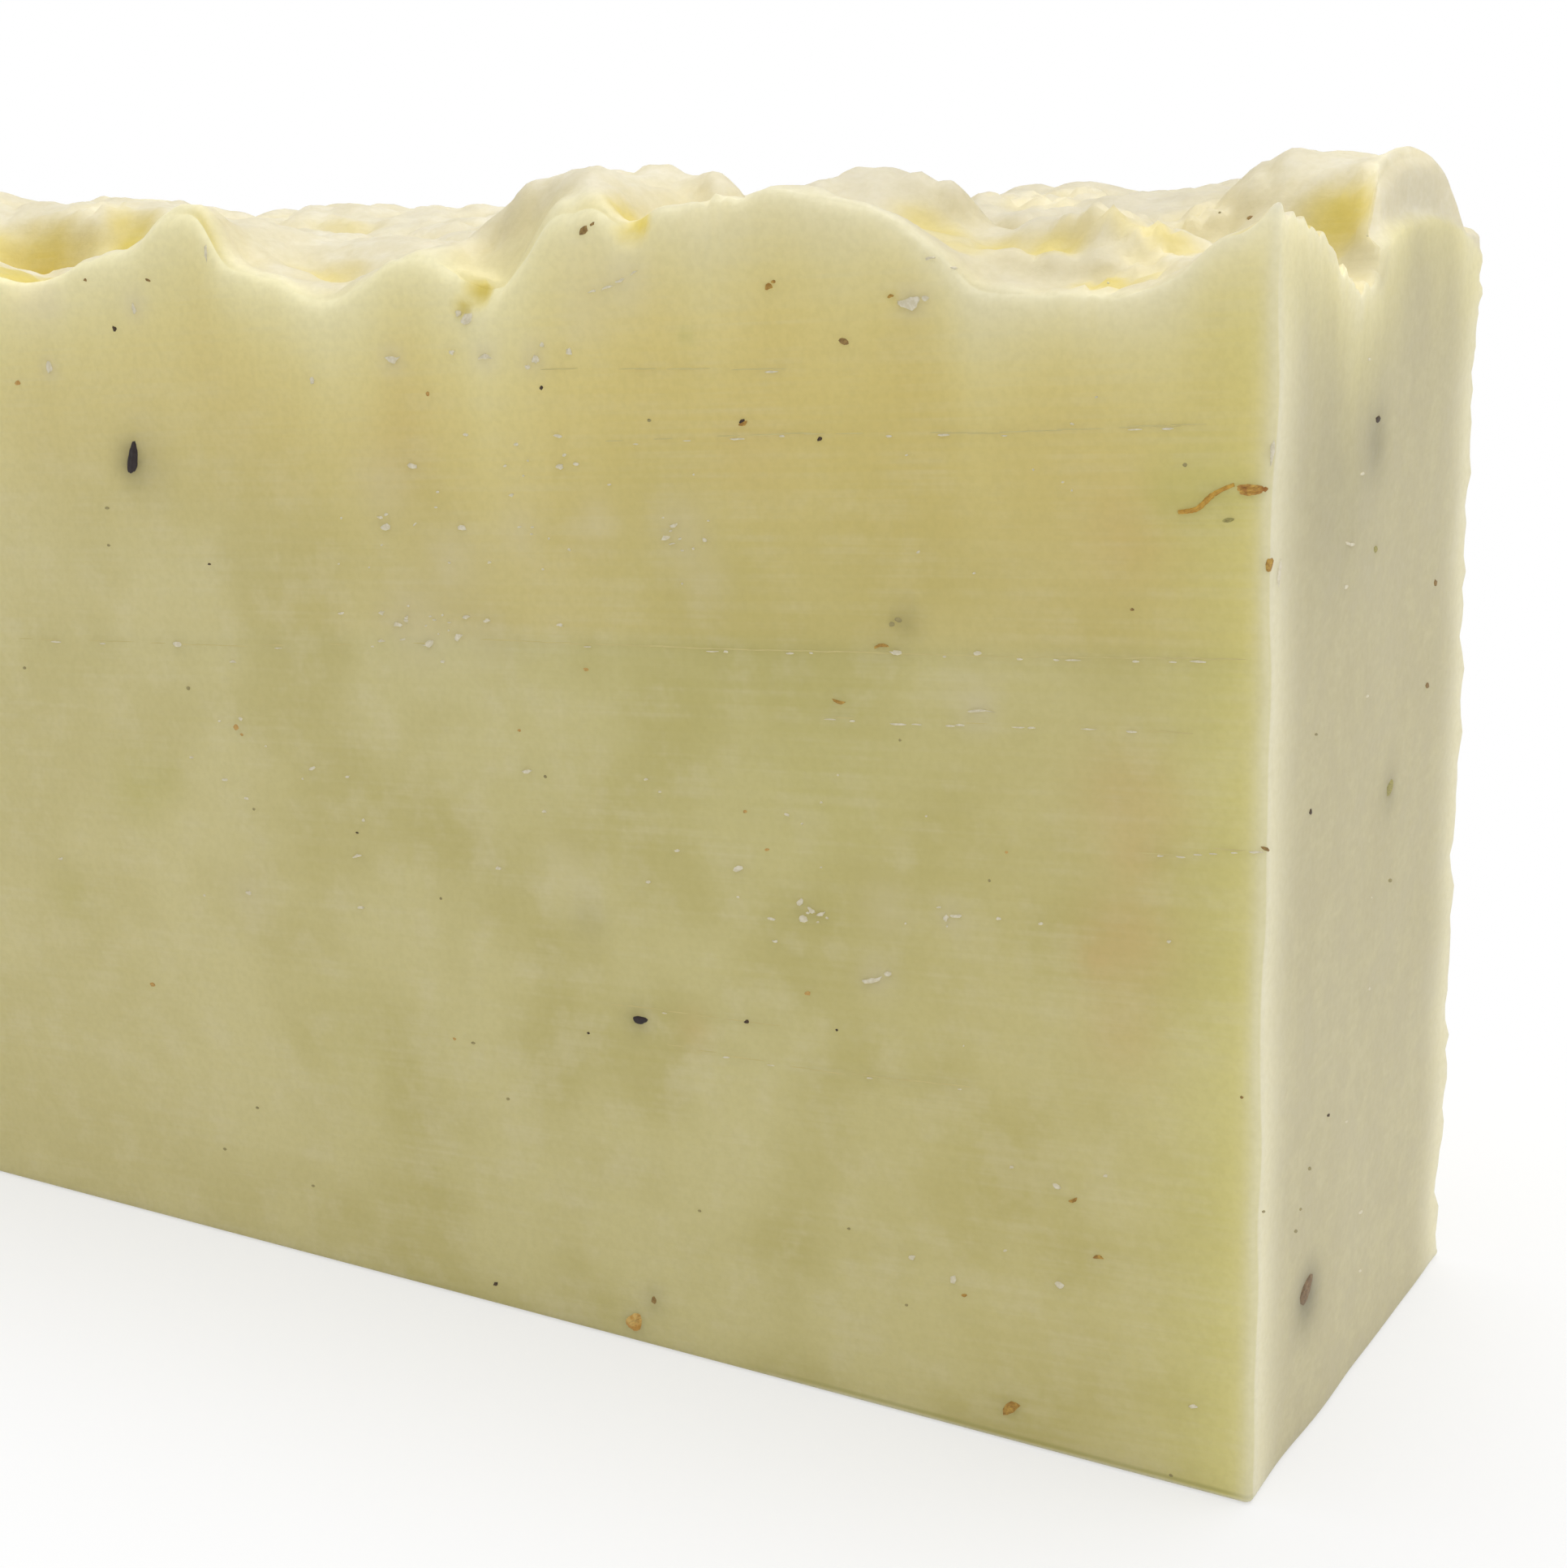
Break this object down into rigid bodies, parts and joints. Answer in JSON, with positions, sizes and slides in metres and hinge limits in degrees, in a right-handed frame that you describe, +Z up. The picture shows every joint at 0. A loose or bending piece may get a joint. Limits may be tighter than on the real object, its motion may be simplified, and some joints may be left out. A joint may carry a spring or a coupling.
{
  "type": "bar of soap",
  "caption": "Hand-cut rectangular bar of cold-process soap with a rough torn top and dried plant bits, standing on its long side.",
  "frame": {"origin": "middle of the flat bottom that the bar stands on", "axes": "+X along the long cut slice, +Y through its thickness away from the shown cut face, +Z up to the torn top"},
  "size_m": [0.09, 0.028, 0.0595],
  "materials": {
    "soap": "satin, waxy and slightly translucent",
    "stem": "dry plant fibre",
    "husk": "dry ribbed husk",
    "dark_seed": "dry dark seed",
    "petal": "dry petal"
  },
  "bodies": {
    "root": {"soap_bar": "soap", "stem_fibre": "stem", "seed_husk": "husk", "left_seed": "dark_seed", "middle_seed": "dark_seed", "end_seed": "dark_seed", "petal_crumb": "petal"}
  },
  "joints": []
}
